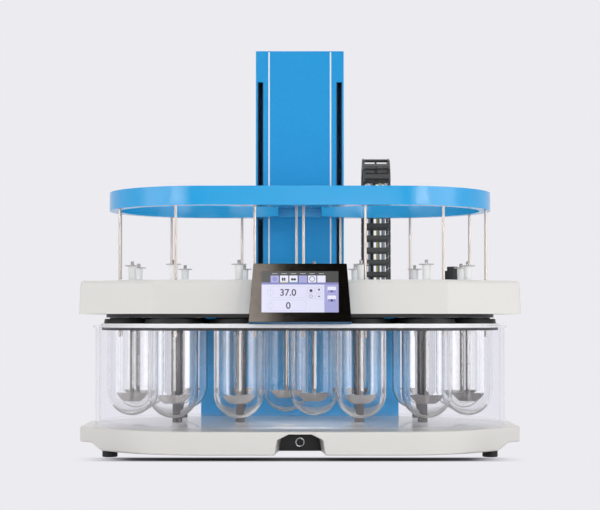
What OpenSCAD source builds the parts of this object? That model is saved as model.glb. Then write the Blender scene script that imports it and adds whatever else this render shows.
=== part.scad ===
// Dissolution tester: two rings of glass vessels in a clear water bath, a stirring head
// that rises on a column, and a sampling manifold above it. Lengths in millimetres, +Z up,
// the front faces -Y, and the origin lies on the bench under the middle of the whole.

/* [Layout] */
// Distance of each ring's centre from the middle of the instrument
lobe_x = 206; // [200:1:230]
// Distance of a vessel's middle from the tank's outside
vessel_inset = 76; // [74:1:78]

/* [Base] */
// Height of the rubber feet
foot_h = 15; // [10:1:30]
// Diameter of the rubber feet
foot_d = 34; // [24:1:40]
// Distance of a foot from the base's edge
foot_margin = 5; // [3:1:12]
// Height of the base casting
base_h = 51; // [40:1:70]
// Ledge of the base outside the tank
base_ledge = 6; // [4:1:20]
// Reach of the lifting grips past the base's round ends
grip_reach = 18; // [10:1:30]
// Half the length of a lifting grip, front to back
grip_half_l = 92; // [60:1:120]
// Height of the finger space under a lifting grip
grip_gap = 16; // [10:1:25]
// Length of a lifting grip's flat underside
grip_flat = 30; // [20:1:40]
// Length of the slope behind that underside
grip_slope = 25; // [15:1:35]
// Ledge of the base round the rear housing
base_rim = 2; // [1:1:6]
// Half the width of the front recess at its mouth
recess_mouth = 57; // [52:1:70]
// Half the width of the front recess at its back
recess_back = 50; // [48:1:52]
// Depth of the front recess
recess_depth = 122; // [60:1:140]
// Thickness of the base above the front recess
recess_roof = 13; // [8:1:20]
// Height of the power button above the base's underside
button_rise = 20; // [14:1:24]
// Outer diameter of the metal ring round the power button
bezel_d = 22; // [18:1:28]
// Diameter of the power button
button_d = 13; // [10:1:16]
// Travel of the power button
button_travel = 1.5; // [1:0.1:3]

/* [Bath] */
// Radius of the tank's round ends, outside
tank_r = 264; // [256:1:275]
// Thickness of the tank's walls and floor
tank_wall = 8; // [5:1:12]
// Height of the tank
tank_h = 226; // [215:1:240]
// Width of the lip round the tank's rim
tank_lip = 5; // [2:1:8]
// Diameter of the posts that carry the vessel plate
post_d = 22; // [8:1:26]
// Distance of the outer posts from the middle
post_outer_x = 276; // [266:1:285]
// Distance of the inner posts from the middle
post_inner_x = 134; // [128:1:142]
// Distance of the posts in front of and behind the middle
post_y = 85; // [75:1:92]
// Thickness of the white vessel plate
plate_t = 9; // [6:1:14]
// Thickness of the dark sheet under the vessel plate
lining_t = 6; // [3:1:8]
// Gap between the vessel plate and the tank wall
plate_gap = 4; // [2:1:8]
// Rise of the vessel plate above the tank's rim
plate_rise = 4; // [0:1:8]
// Inset of the dark sheet from the plate's edge
lining_inset = 3; // [1:1:8]

/* [Vessels] */
// Outer diameter of a vessel
vessel_d = 110; // [100:1:114]
// Wall of a vessel
vessel_wall = 3.5; // [2.5:0.5:5]
// Length of a vessel below the plate's top
vessel_l = 207; // [195:1:209]
// Diameter of a vessel's flange
flange_d = 120; // [118:1:124]
// Thickness of a vessel's flange
flange_t = 5; // [3:1:6]
// Thickness of a vessel cover under the head
cover_t = 8; // [4:0.5:10]
// Inset of a cover from the vessel's flange
cover_inset = 2; // [0.5:0.5:5]

/* [Paddles] */
// Diameter of a paddle shaft
shaft_d = 10; // [9:0.1:10.5]
// Gap between the blade and the vessel's bottom
blade_gap = 28; // [20:1:35]
// Width of a blade at its top
blade_w = 74.5; // [70:0.5:80]
// Height of a blade
blade_h = 19; // [15:1:22]
// Thickness of a blade
blade_t = 4; // [3:0.5:5]
// Radius of a blade's curved sides
blade_r = 41.5; // [40.5:0.5:46]
// Diameter of the thin end of a shaft above its cap
tip_d = 7.5; // [6:0.5:8]
// Height of that thin end above the cap
tip_h = 9; // [6:0.5:14]
// Radius of the drive pulley on a shaft
pulley_r = 15; // [13:0.5:18]

/* [Stirring head] */
// Gap between the vessels and the covers under the lowered head
head_gap = 0.5; // [0.4:0.1:2]
// Thickness of the dark floor of the head
floor_t = 8; // [6:1:12]
// Height of the white shell of the head
shell_h = 74; // [60:1:90]
// Wall of the white shell
shell_wall = 4; // [2:0.5:6]
// Distance of the head's front and back faces inside the tank's outside
head_setback = 19; // [14:1:23]
// Half the width of the head's front face
head_front_w = 320; // [300:1:340]
// Reach of the head's end faces beyond the tank's ends
head_overhang = 20; // [12:1:40]
// Half the length of the head's end faces
head_end_l = 143; // [120:1:170]
// Inset of the dark floor from the tank's outside
floor_inset = 25; // [20:1:30]
// Height of a spindle cap
cap_h = 36; // [28:1:44]
// Diameter of a spindle cap
cap_d = 18.5; // [16:0.5:22]
// Diameter of a spindle cap's flange
cap_flange_d = 34; // [28:1:40]
// Rise of the head on its column
head_lift = 230; // [200:5:260]

/* [Display] */
// Width of the display housing at its foot
display_w = 219; // [210:1:240]
// Width of the display housing at its top
display_top_w = 200; // [184:1:210]
// Height of the display housing along its face
display_h = 129; // [122:1:140]
// Thickness of the display housing
display_t = 18; // [16:1:30]
// Lean of the display housing
display_lean = 12; // [5:1:20]
// Width of the glass screen
screen_w = 164; // [150:1:174]
// Height of the glass screen
screen_h = 90; // [80:1:98]
// Height of the screen's middle along the housing's face
screen_rise = 67; // [62:1:72]
// Drop of the housing's foot below the head's dark floor
display_drop = 11; // [5:1:14]
// Gap between the housing and the tank's lip
display_gap = 2; // [1:1:6]

/* [Sampling manifold] */
// Height of the manifold's underside above the head
manifold_rise = 162; // [158:1:180]
// Height of the manifold
manifold_h = 41.5; // [30:0.5:60]
// Reach of the manifold outside the vessel circle
manifold_out = 44.5; // [42:0.5:50]
// Reach of the manifold's round holes outside the vessel circle
manifold_in = 19; // [10:1:26]
// Half the width of the web between the two holes
web_half_w = 52; // [46:1:64]
// Thickness of that web
web_t = 21; // [12:1:28]
// Diameter of a sampling probe
probe_d = 6.2; // [5:0.1:7]
// Distance of a probe from its shaft
probe_r = 42.7; // [40:0.1:44]
// Turn of a probe from the ring's radius
probe_turn = 32.9; // [25:0.1:36]
// Depth of a probe's tip below the plate at rest
probe_dip = 30; // [20:1:60]
// Drop of the manifold for sampling
probe_drop = 100; // [60:1:110]

/* [Column] */
// Gap between the tank and the column
column_gap = 6; // [4:1:12]
// Width of the column
column_w = 219; // [212:1:240]
// Depth of the column
column_d = 150; // [140:1:180]
// Height of the column's top above the bench
column_top = 974; // [950:1:1000]
// Sheet thickness of the column and the housing
sheet_t = 3; // [2:0.5:4]
// Width of the guide slots
slot_w = 13.5; // [11:0.5:15]
// Distance of the middle of a guide slot from the column's side
slot_edge = 11.5; // [11:0.5:13]
// Rise of the slots' lower end above the rear housing
slot_rise = 5; // [3:1:20]
// Spare length of the slots above the raised manifold
slot_spare = 71; // [20:1:90]
// Thickness of the carriage arms
arm_t = 8; // [6:0.5:9]
// Half the width of the rear housing
housing_half_w = 245; // [235:1:260]
// Depth of the rear housing
housing_d = 168; // [164:1:190]
// Drop of the rear housing's top below the head
housing_drop = 5; // [2:1:10]
// Diameter of the lifting screw
screw_d = 16; // [12:1:20]

/* [Cable chain] */
// Width of the cable chain
chain_w = 68; // [50:1:80]
// Pitch of a chain link
link_pitch = 30; // [26:1:34]
// Height of a chain link across its bend
link_h = 24; // [18:1:28]
// Radius of the chain's bend at the middle of the links
chain_bend_r = 54; // [48:1:60]
// Links in the chain's front run
front_links = 9; // [8:1:10]
// Links in the chain's back run
back_links = 11; // [10:1:12]
// Links round the chain's bend
bend_links = 6; // [5:1:8]
// Distance of the chain from the middle
chain_x = 191; // [180:1:200]

/* [Hidden] */
STATIONS = 14;

$fn = 64;
// Clearances: a running fit on a shaft, parts that pass each other, and an open cut's overrun
run_gap = 0.06;
pass_gap = 0.3;
cut = 1;

// Heights above the bench, from the feet up
base_top = foot_h + base_h;
tank_top = base_top + tank_h;
plate_top = tank_top + plate_rise;
plate_bottom = plate_top - plate_t;
lining_bottom = plate_bottom - lining_t;
tank_floor = base_top + tank_wall;
vessel_bottom = plate_top - vessel_l;
flange_top = plate_top + flange_t;
cover_bottom = flange_top + head_gap;
floor_bottom = cover_bottom + cover_t;
head_bottom = floor_bottom + floor_t;
head_top = head_bottom + shell_h;
cap_top = head_top + cap_h;
tip_top = cap_top + tip_h;
manifold_bottom = head_top + manifold_rise;
manifold_top = manifold_bottom + manifold_h;
blade_bottom = vessel_bottom + vessel_wall + blade_gap;

// Plan sizes
vessel_circle_r = tank_r - vessel_inset;
base_r = tank_r + base_ledge;
plate_r = tank_r - tank_wall - plate_gap;
floor_r = tank_r - floor_inset;
head_half_d = tank_r - head_setback;
head_half_w = lobe_x + tank_r + head_overhang;
manifold_r = vessel_circle_r + manifold_out;
manifold_hole_r = vessel_circle_r + manifold_in;
column_front = tank_r + column_gap;
column_back = column_front + column_d;
slot_x = column_w / 2 - slot_edge;
housing_back = column_front + housing_d;
housing_top = head_bottom - housing_drop;
base_back = housing_back + base_rim;
display_front = -tank_r - tank_lip - display_t - display_gap;
vessel_r = vessel_d / 2;
hole_gap = 1;
hole_r = vessel_r + hole_gap;
shaft_r = shaft_d / 2;

// Stirring stations: seven of the eight corners of an octagon in each ring
step = 45;
left_angles = [for (k = [0 : 6]) step / 2 + k * step];
right_angles = [for (k = [0 : 7]) if (k != 3) step / 2 + k * step];
stations = concat(
    [for (a = left_angles) [-lobe_x + vessel_circle_r * cos(a), vessel_circle_r * sin(a), a]],
    [for (a = right_angles) [lobe_x + vessel_circle_r * cos(a), vessel_circle_r * sin(a), a]]);
function probe_at(s) =
    [s[0] + probe_r * cos(s[2] + probe_turn), s[1] + probe_r * sin(s[2] + probe_turn)];
blade_turn_max = 24;
blade_turn_step = 77;
function blade_turn(i) = blade_turn_max * sin(i * blade_turn_step);

// Colours
white = "#E9E8E4";
blue = "#1E86CF";
black = "#1A1A1C";
steel = "#B9BCBF";
glass = "#DDE6EA";

// Flat outline of a slot with round ends about two centres on X
module stadium(r) {
    for (s = [-1, 1]) {
        translate([s * lobe_x, 0]) circle(r);
    }
    square([2 * lobe_x, 2 * r], center = true);
}

// The same outline raised from one height to another
module stadium_slab(r, z0, z1) {
    translate([0, 0, z0]) linear_extrude(z1 - z0) stadium(r);
}

// The whole stands centred front to back about the origin
frame_y = -(display_front + base_back) / 2;
module in_frame() {
    translate([0, frame_y, 0]) children();
}

// A box between two corners
module block(a, b) {
    translate(a) cube(b - a);
}

// A slice of round bar from one height to another
module bar(at, r, z0, z1) {
    translate([at[0], at[1], z0]) cylinder(r = r, h = z1 - z0);
}

// One cut through a plate at every station
module station_holes(r, z0, z1) {
    for (s = stations) {
        bar(s, r, z0 - cut, z1 + cut);
    }
}

// One cut through a plate at every probe
module probe_holes(r, z0, z1) {
    for (s = stations) {
        bar(probe_at(s), r, z0 - cut, z1 + cut);
    }
}

// Base: a white casting with round ends, a lifting grip at each end and a recess at the front
grip_x = lobe_x + base_r + grip_reach;
grip_inner_x = grip_x - grip_flat;
grip_slope_x = grip_inner_x - grip_slope;
recess_y = -base_r + recess_depth;
recess_top = base_top - recess_roof;
module base_plan() {
    stadium(base_r);
    square([2 * grip_x, 2 * grip_half_l], center = true);
    translate([-housing_half_w - base_rim, 0]) square([2 * (housing_half_w + base_rim), base_back]);
}
module base_section() {
    polygon([[-grip_x - cut, foot_h + grip_gap], [-grip_inner_x, foot_h + grip_gap], [-grip_slope_x, foot_h],
             [grip_slope_x, foot_h], [grip_inner_x, foot_h + grip_gap], [grip_x + cut, foot_h + grip_gap],
             [grip_x + cut, base_top], [-grip_x - cut, base_top]]);
}
module base() {
    color(white) difference() {
        intersection() {
            translate([0, 0, foot_h]) linear_extrude(base_h) base_plan();
            translate([0, base_back + cut, 0]) rotate([90, 0, 0])
                linear_extrude(base_back + base_r + 2 * cut) base_section();
        }
        translate([0, 0, foot_h - cut]) linear_extrude(recess_top - foot_h + cut)
            polygon([[-recess_back, recess_y], [recess_back, recess_y],
                     [recess_mouth, -base_r - cut], [-recess_mouth, -base_r - cut]]);
    }
}

// Feet: four round rubber pads under the bath and two under the rear housing
foot_angle = 29;
foot_ring_r = base_r - foot_d / 2 - foot_margin;
foot_places = [for (x = [-1, 1], y = [-1, 1])
    [x * (lobe_x + foot_ring_r * cos(foot_angle)), y * foot_ring_r * sin(foot_angle)]];
rear_foot_y = base_back - foot_d;
module feet() {
    color(black) {
        for (p = foot_places) {
            bar(p, foot_d / 2, 0, foot_h);
        }
        for (s = [-1, 1]) {
            bar([s * (housing_half_w - foot_d), rear_foot_y], foot_d / 2, 0, foot_h);
        }
    }
}

// Recess panel: the black plate at the back of the front recess, with a bore for the button
panel_t = 5;
panel_front = recess_y - panel_t;
button_z = foot_h + button_rise;
panel_step = 8;
panel_shoulder = 6;
panel_top_half_w = 25;
bezel_depth = 3;
module recess_panel() {
    color(black) difference() {
        translate([0, recess_y, 0]) rotate([90, 0, 0]) linear_extrude(panel_t)
            polygon([[-recess_back + cut, foot_h + cut], [recess_back - cut, foot_h + cut],
                     [recess_back - panel_shoulder, recess_top - panel_step],
                     [panel_top_half_w, recess_top - cut], [-panel_top_half_w, recess_top - cut],
                     [-recess_back + panel_shoulder, recess_top - panel_step]]);
        translate([0, recess_y + cut, button_z]) rotate([90, 0, 0])
            cylinder(d = button_d + 2 * pass_gap, h = panel_t + 2 * cut);
    }
}

// Button bezel: the metal ring round the power button, flat on the recess panel
module button_bezel() {
    color(steel) translate([0, panel_front, button_z]) rotate([90, 0, 0]) difference() {
        cylinder(d = bezel_d, h = bezel_depth);
        translate([0, 0, -cut]) cylinder(d = button_d + 2 * pass_gap, h = bezel_depth + 2 * cut);
    }
}

// Power button: a round cap in the bezel that is pushed inwards
button_back = recess_y - button_travel - pass_gap;
button_proud = 1;
module power_button() {
    color(black) translate([0, button_back, button_z]) rotate([90, 0, 0])
        cylinder(d = button_d, h = button_back - (panel_front - bezel_depth - button_proud));
}

// Rear housing: the wide blue box behind the bath, open at its back and under the column
spine_half_w = 88;
spine_d = 30;
spine_back_gap = 16;
spine_y = column_back - spine_back_gap - spine_d;
module rear_housing() {
    color(blue) difference() {
        block([-housing_half_w, column_front, base_top], [housing_half_w, housing_back, housing_top]);
        block([-housing_half_w + sheet_t, column_front + sheet_t, base_top - cut],
              [housing_half_w - sheet_t, housing_back + cut, housing_top - sheet_t]);
        block([-column_w / 2 + 2 * sheet_t, column_front + 2 * sheet_t, housing_top - 2 * sheet_t],
              [column_w / 2 - 2 * sheet_t, column_back - 2 * sheet_t, housing_top + cut]);
    }
}

// Rear panel: the dark service plate with its vents and its power inlet
inlet_x = 150;
inlet_rise = 45;
inlet_z = base_top + inlet_rise;
inlet_half_w = 30;
inlet_half_h = 20;
socket_half_w = 14;
socket_half_h = 10;
service_t = 4;
service_sink = 2;
service_back = housing_back - service_sink;
vent_count = 9;
vent_rise = 60;
vent_low = base_top + vent_rise;
vent_pitch = 12;
vent_h = 5;
vent_half_w = 60;
module rear_panel() {
    color(black) difference() {
        union() {
            block([-housing_half_w + sheet_t + pass_gap, service_back - service_t, base_top],
                  [housing_half_w - sheet_t - pass_gap, service_back, housing_top - sheet_t - pass_gap]);
            block([inlet_x - inlet_half_w, service_back, inlet_z - inlet_half_h],
                  [inlet_x + inlet_half_w, housing_back, inlet_z + inlet_half_h]);
        }
        block([inlet_x - socket_half_w, service_back - service_t - cut, inlet_z - socket_half_h],
              [inlet_x + socket_half_w, housing_back + cut, inlet_z + socket_half_h]);
        for (k = [0 : vent_count - 1]) {
            block([-vent_half_w, service_back - service_t - cut, vent_low + vent_pitch * k],
                  [vent_half_w, housing_back + cut, vent_low + vent_pitch * k + vent_h]);
        }
    }
}

// Tower shell: the tall blue column, a folded sheet box with two slots in its front
slot_bottom = housing_top + slot_rise;
slot_top = manifold_top + head_lift + slot_spare;
module tower_shell() {
    color(blue) difference() {
        block([-column_w / 2, column_front, housing_top], [column_w / 2, column_back, column_top]);
        block([-column_w / 2 + sheet_t, column_front + sheet_t, housing_top - cut],
              [column_w / 2 - sheet_t, column_back - sheet_t, column_top - sheet_t]);
        for (s = [-1, 1]) {
            block([s * slot_x - slot_w / 2, column_front - cut, slot_bottom],
                  [s * slot_x + slot_w / 2, column_front + sheet_t + cut, slot_top]);
        }
    }
}

// Slot brushes: black strips behind each slot that close on the carriage arms
brush_w = 5;
brush_t = 6;
brush_over = 4;
brush_edge = column_w / 2 - sheet_t;
module slot_brushes() {
    color(black) for (s = [-1, 1], e = [-1, 1]) {
        inner = s * slot_x + e * (arm_t / 2 + pass_gap);
        outer = s == e ? s * brush_edge : inner + e * brush_w;
        block([min(inner, outer), column_front + sheet_t, slot_bottom - brush_over],
              [max(inner, outer), column_front + sheet_t + brush_t, slot_top + brush_over]);
    }
}

// Lift column: the aluminium spine inside the tower with its two ground guide rails
rail_x = 66;
rail_w = 15;
rail_t = 12;
rail_front = spine_y - rail_t;
rail_rise = 40;
rail_low = base_top + rail_rise;
spine_drop = 20;
spine_top = column_top - spine_drop;
rail_drop = 10;
rail_top = spine_top - rail_drop;
end_block_h = 14;
end_block_half_w = 22;
end_block_reach = 18;
module lift_column() {
    color(steel) {
        union() {
            block([-spine_half_w, spine_y, base_top], [spine_half_w, spine_y + spine_d, spine_top]);
            for (s = [-1, 1]) {
                block([s * rail_x - rail_w / 2, rail_front, rail_low],
                      [s * rail_x + rail_w / 2, spine_y, rail_top]);
            }
            for (z = [screw_low - end_block_h, screw_high]) {
                difference() {
                    block([screw_x - end_block_half_w, screw_y - end_block_reach, z],
                          [screw_x + end_block_half_w, spine_y, z + end_block_h]);
                    bar([screw_x, screw_y], screw_neck_r + run_gap, z - cut, z + end_block_h + cut);
                }
            }
        }
    }
}

// Lift screw: the turning screw that raises the head, carried in a block at each end
screw_x = 0;
screw_gap = 30;
screw_y = rail_front - screw_gap;
motor_h = 60;
coupling_gap = 10;
motor_top = base_top + motor_h;
screw_low = motor_top + coupling_gap + end_block_h;
screw_drop = 30;
screw_high = rail_top - screw_drop;
neck_step = 3;
screw_neck_r = screw_d / 2 - neck_step;
module lift_screw() {
    color(steel) {
        bar([screw_x, screw_y], screw_d / 2, screw_low + pass_gap, screw_high - pass_gap);
        bar([screw_x, screw_y], screw_neck_r, motor_top + pass_gap, screw_high + end_block_h);
    }
}

// Lift motor: the square motor on the base that turns the lifting screw
motor_half = 28;
module lift_motor() {
    color(black) block([screw_x - motor_half, screw_y - motor_half, base_top],
                       [screw_x + motor_half, screw_y + motor_half, motor_top]);
}

// Bath heater: the flow heater and pump in the rear housing
heater_x = -170;
heater_gap = 80;
heater_y = column_front + heater_gap;
heater_r = 38;
heater_h = 150;
heater_cap_r = 30;
heater_cap_h = 40;
pump_reach = 74;
pump_half_w = 12;
pump_h = 60;
module bath_heater() {
    color(steel) {
        bar([heater_x, heater_y], heater_r, base_top, base_top + heater_h);
        bar([heater_x, heater_y], heater_cap_r, base_top + heater_h, base_top + heater_h + heater_cap_h);
        block([heater_x, heater_y - pump_half_w, base_top],
              [heater_x + pump_reach, heater_y + pump_half_w, base_top + pump_h]);
    }
}

// Tank: one clear trough with round ends and a small lip
lip_h = 6;
module tank() {
    color(glass, 0.35) difference() {
        union() {
            stadium_slab(tank_r, base_top, tank_top);
            stadium_slab(tank_r + tank_lip, tank_top - lip_h, tank_top);
        }
        stadium_slab(tank_r - tank_wall, tank_floor, tank_top + cut);
    }
}

// Support posts: steel posts on the tank's floor that carry the vessel plate
module support_posts() {
    color(steel) for (x = [post_inner_x, post_outer_x], sx = [-1, 1], sy = [-1, 1]) {
        bar([sx * x, sy * post_y], post_d / 2, tank_floor, lining_bottom);
    }
}

// Vessel plate: the white plate in the mouth of the tank, with a hole for each vessel
module vessel_plate() {
    color(white) difference() {
        stadium_slab(plate_r, plate_bottom, plate_top);
        station_holes(hole_r, plate_bottom, plate_top);
    }
}

// Plate lining: the dark sheet under the vessel plate
module plate_lining() {
    color(black) difference() {
        stadium_slab(plate_r - lining_inset, lining_bottom, plate_bottom);
        station_holes(hole_r, lining_bottom, plate_bottom);
    }
}

// Vessel covers: a dark disc under the head for each vessel, with a hole for its shaft and probe
shaft_pass = 2.5;
probe_pass = 1.6;
module vessel_covers() {
    color(black) difference() {
        for (s = stations) {
            bar(s, flange_d / 2 - cover_inset, cover_bottom, floor_bottom);
        }
        station_holes(shaft_r + shaft_pass, cover_bottom, floor_bottom);
        probe_holes(probe_d / 2 + probe_pass, cover_bottom, floor_bottom);
    }
}

// Vessel: a glass cup with a round bottom, hung in the plate by its flange
module cup_section(r, z0, z1) {
    intersection() {
        union() {
            translate([0, z0 + r]) circle(r);
            translate([0, z0 + r]) square([r, z1 - z0 - r]);
        }
        translate([0, z0]) square([r, z1 - z0]);
    }
}
module vessel(i) {
    color(glass, 0.45) translate([stations[i][0], stations[i][1], 0]) rotate_extrude() difference() {
        union() {
            cup_section(vessel_r, vessel_bottom, flange_top);
            translate([0, plate_top]) square([flange_d / 2, flange_t]);
        }
        cup_section(vessel_r - vessel_wall, vessel_bottom + vessel_wall, flange_top + cut);
    }
}

// Head plan: a long octagon
module head_plan(inset) {
    front_w = head_front_w - inset * 0.5;
    end_l = head_end_l - inset * 0.5;
    w = head_half_w - inset;
    d = head_half_d - inset;
    polygon([[-front_w, -d], [front_w, -d], [w, -end_l], [w, end_l],
             [front_w, d], [-front_w, d], [-w, end_l], [-w, -end_l]]);
}

// Head shell: the white cover of the stirring head, open below
module head_shell() {
    color(white) difference() {
        translate([0, 0, head_bottom]) linear_extrude(shell_h) head_plan(0);
        translate([0, 0, head_bottom - cut]) linear_extrude(shell_h - shell_wall + cut) head_plan(shell_wall);
        station_holes(shaft_r + shaft_pass, head_top - shell_wall, head_top);
        probe_holes(probe_d / 2 + probe_pass, head_top - shell_wall, head_top);
    }
}

// Head floor: the dark plate under the head that carries the spindle bearings
bearing_r = 13;
module head_floor() {
    color(black) difference() {
        union() {
            stadium_slab(floor_r, floor_bottom, head_bottom);
            translate([0, 0, head_bottom]) linear_extrude(floor_t) head_plan(shell_wall + pass_gap);
        }
        station_holes(shaft_r + shaft_pass, floor_bottom, head_bottom + floor_t);
        probe_holes(probe_d / 2 + probe_pass, floor_bottom, head_bottom + floor_t);
    }
}

// Spindle bearings: a flanged bush on the floor at each station
bush_bottom = head_bottom + floor_t;
bush_h = 12;
bush_top = bush_bottom + bush_h;
module spindle_bearings() {
    color(steel) difference() {
        for (s = stations) {
            bar(s, bearing_r, bush_bottom, bush_top);
        }
        station_holes(shaft_r + run_gap, bush_bottom, bush_top);
    }
}

// Spindle caps: a white flanged sleeve on the head round each shaft
cap_flange_t = 2;
module spindle_caps() {
    color(white) difference() {
        for (s = stations) {
            bar(s, cap_d / 2, head_top, cap_top);
            bar(s, cap_flange_d / 2, cap_top - cap_flange_t, cap_top);
        }
        station_holes(shaft_r + pass_gap, head_top, cap_top);
    }
}

// Paddle: a steel shaft with its drive pulley and a blade with curved sides
module blade() {
    intersection() {
        block([-blade_w / 2, -blade_t / 2, 0], [blade_w / 2, blade_t / 2, blade_h]);
        translate([0, blade_t, blade_h + sqrt(blade_r * blade_r - blade_w * blade_w / 4)])
            rotate([90, 0, 0]) cylinder(r = blade_r, h = 2 * blade_t);
    }
}
pulley_h = 10;
tip_seat = 6;
pulley_z = bush_top + pass_gap;
module paddle(i) {
    color(steel) translate([stations[i][0], stations[i][1], 0]) union() {
        translate([0, 0, blade_bottom]) rotate([0, 0, blade_turn(i)]) blade();
        bar([0, 0], shaft_r, blade_bottom, cap_top - tip_seat);
        bar([0, 0], tip_d / 2, cap_top - tip_seat, tip_top);
        bar([0, 0], pulley_r, pulley_z, pulley_z + pulley_h);
    }
}

// Drive belt: a flat loop round the outer pulleys
belt_t = 2;
belt_h = 8;
module belt_outline(r) {
    hull() {
        for (s = stations) {
            translate([s[0], s[1]]) circle(r, $fn = 32);
        }
    }
}
module drive_belt() {
    color(black) translate([0, 0, pulley_z + (pulley_h - belt_h) / 2]) linear_extrude(belt_h) difference() {
        belt_outline(pulley_r + pass_gap + belt_t);
        belt_outline(pulley_r + pass_gap);
    }
}

// Drive motor: the stirring motor under the head's top, with its pulley inside the belt's back run
drive_pulley_r = 18;
drive_motor_r = 29;
drive_y = vessel_circle_r * cos(step / 2) + pulley_r - drive_pulley_r;
module drive_motor() {
    color(black) {
        bar([0, drive_y], drive_pulley_r, bush_bottom, pulley_z + pulley_h + cut);
        bar([0, drive_y], drive_motor_r, pulley_z + pulley_h, head_top - shell_wall);
    }
}

// Head carriage: arms through the slots, a plate on the rails, the screw's nut and the probe tube
arm_rise = 12;
arm_h = 50;
arm_low = head_bottom + arm_rise;
arm_high = arm_low + arm_h;
carriage_t = 10;
slide_t = 2;
slide_margin = 8;
carriage_front = rail_front - slide_t - carriage_t;
nut_half_w = 20;
nut_inset = 10;
tube_x = 34;
tube_r = 13;
rod_r = 5;
rod_hold = 40;
rod_spare = 10;
tube_spare = 15;
tube_low = arm_low - probe_drop + rod_hold;
tube_high = manifold_bottom - probe_drop - tube_spare;
module carriage(reach_y, z0, z1) {
    for (s = [-1, 1]) {
        block([s * slot_x - arm_t / 2, reach_y, z0],
              [s * slot_x + arm_t / 2, carriage_front + carriage_t, z1]);
        block([s * rail_x - rail_w / 2 - slide_margin, carriage_front + carriage_t - cut, z0],
              [s * rail_x + rail_w / 2 + slide_margin, rail_front - pass_gap, z1]);
    }
    block([-slot_x, carriage_front, z0], [slot_x, carriage_front + carriage_t, z1]);
}
module head_carriage() {
    color(steel) difference() {
        union() {
            carriage(head_half_d, arm_low, arm_high);
            block([chain_x - chain_w / 2, head_half_d, chain_start_z - chain_shelf_t],
                  [chain_x + chain_w / 2, chain_front_y + link_h / 2, chain_start_z]);
            block([screw_x - nut_half_w, screw_y - nut_half_w, arm_low + nut_inset],
                  [screw_x + nut_half_w, carriage_front + cut, arm_high - nut_inset]);
            block([tube_x - tube_r, screw_y - tube_r, arm_low],
                  [tube_x + tube_r, carriage_front + cut, arm_high]);
            bar([tube_x, screw_y], tube_r, tube_low, tube_high);
        }
        bar([screw_x, screw_y], screw_d / 2 + run_gap, arm_low, arm_high);
        bar([tube_x, screw_y], rod_r + run_gap, tube_low - cut, tube_high + cut);
    }
}

// Display housing: the black case of the touch screen, leaning back on the head's front
display_foot_z = floor_bottom - display_drop;
module lean_on_head() {
    translate([0, display_front, display_foot_z]) rotate([-display_lean, 0, 0]) children();
}
screen_sink = 2;
bracket_reach = 40;
bracket_low = 28;
bracket_top_gap = 30;
module display_housing() {
    color(black) difference() {
        lean_on_head() difference() {
            translate([0, display_t + bracket_reach, 0]) rotate([90, 0, 0])
                linear_extrude(display_t + bracket_reach)
                polygon([[-display_w / 2, 0], [display_w / 2, 0],
                         [display_top_w / 2, display_h], [-display_top_w / 2, display_h]]);
            block([-screen_w / 2, -cut, screen_rise - screen_h / 2],
                  [screen_w / 2, screen_sink, screen_rise + screen_h / 2]);
        }
        block([-display_w, -head_half_d, 0], [display_w, head_half_d, head_top]);
        lean_on_head() block([-display_w, display_t, head_top - display_foot_z - bracket_top_gap],
                             [display_w, display_t + 2 * bracket_reach, 2 * display_h]);
        lean_on_head() block([-display_w, display_t, -display_h],
                             [display_w, display_t + 2 * bracket_reach, bracket_low]);
    }
}

// Display screen: the glass let into the housing's face
module display_screen() {
    color("#C9D3EA") lean_on_head()
        block([-screen_w / 2 + pass_gap, 0, screen_rise - screen_h / 2 + pass_gap],
              [screen_w / 2 - pass_gap, screen_sink, screen_rise + screen_h / 2 - pass_gap]);
}

// Sensor module: the small black unit on the right of the head
sensor_at = [366, 138];
sensor_r = 13;
sensor_h = 40;
clip_reach = 20;
clip_half_w = 8;
clip_h = 30;
module sensor_module() {
    color(black) union() {
        bar(sensor_at, sensor_r, head_top, head_top + sensor_h);
        block([sensor_at[0] - clip_reach, sensor_at[1] - clip_half_w, head_top],
              [sensor_at[0], sensor_at[1] + clip_half_w, head_top + clip_h]);
    }
}

// Manifold: the blue frame with two round holes and a thinner web between them
web_end_gap = 30;
web_end_y = manifold_hole_r - web_end_gap;
module manifold() {
    color(blue) difference() {
        stadium_slab(manifold_r, manifold_bottom, manifold_top);
        for (s = [-1, 1]) {
            difference() {
                bar([s * lobe_x, 0], manifold_hole_r, manifold_bottom - cut, manifold_top + cut);
                block([-web_half_w, -manifold_r, manifold_bottom - 2 * cut],
                      [web_half_w, manifold_r, manifold_top + 2 * cut]);
            }
        }
        block([-web_half_w, -web_end_y, manifold_bottom - cut],
              [web_half_w, web_end_y, manifold_top - web_t]);
    }
}

// Probes: a steel sampling tube from the manifold into each vessel
module probes() {
    color(steel) for (s = stations) {
        at = probe_at(s);
        under = abs(at[0]) < web_half_w && abs(at[1]) < web_end_y;
        bar(at, probe_d / 2, plate_top - probe_dip, under ? manifold_top - web_t : manifold_bottom);
    }
}

// Manifold carriage: arms through the slots, a plate on the rails and the rod in the probe tube
module manifold_carriage() {
    color(steel) union() {
        carriage(manifold_r, manifold_bottom, manifold_top);
        block([tube_x - tube_r, screw_y - tube_r, manifold_bottom],
              [tube_x + tube_r, carriage_front + cut, manifold_top]);
        bar([tube_x, screw_y], rod_r, tube_low + probe_drop + rod_spare, manifold_bottom);
    }
}

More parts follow.
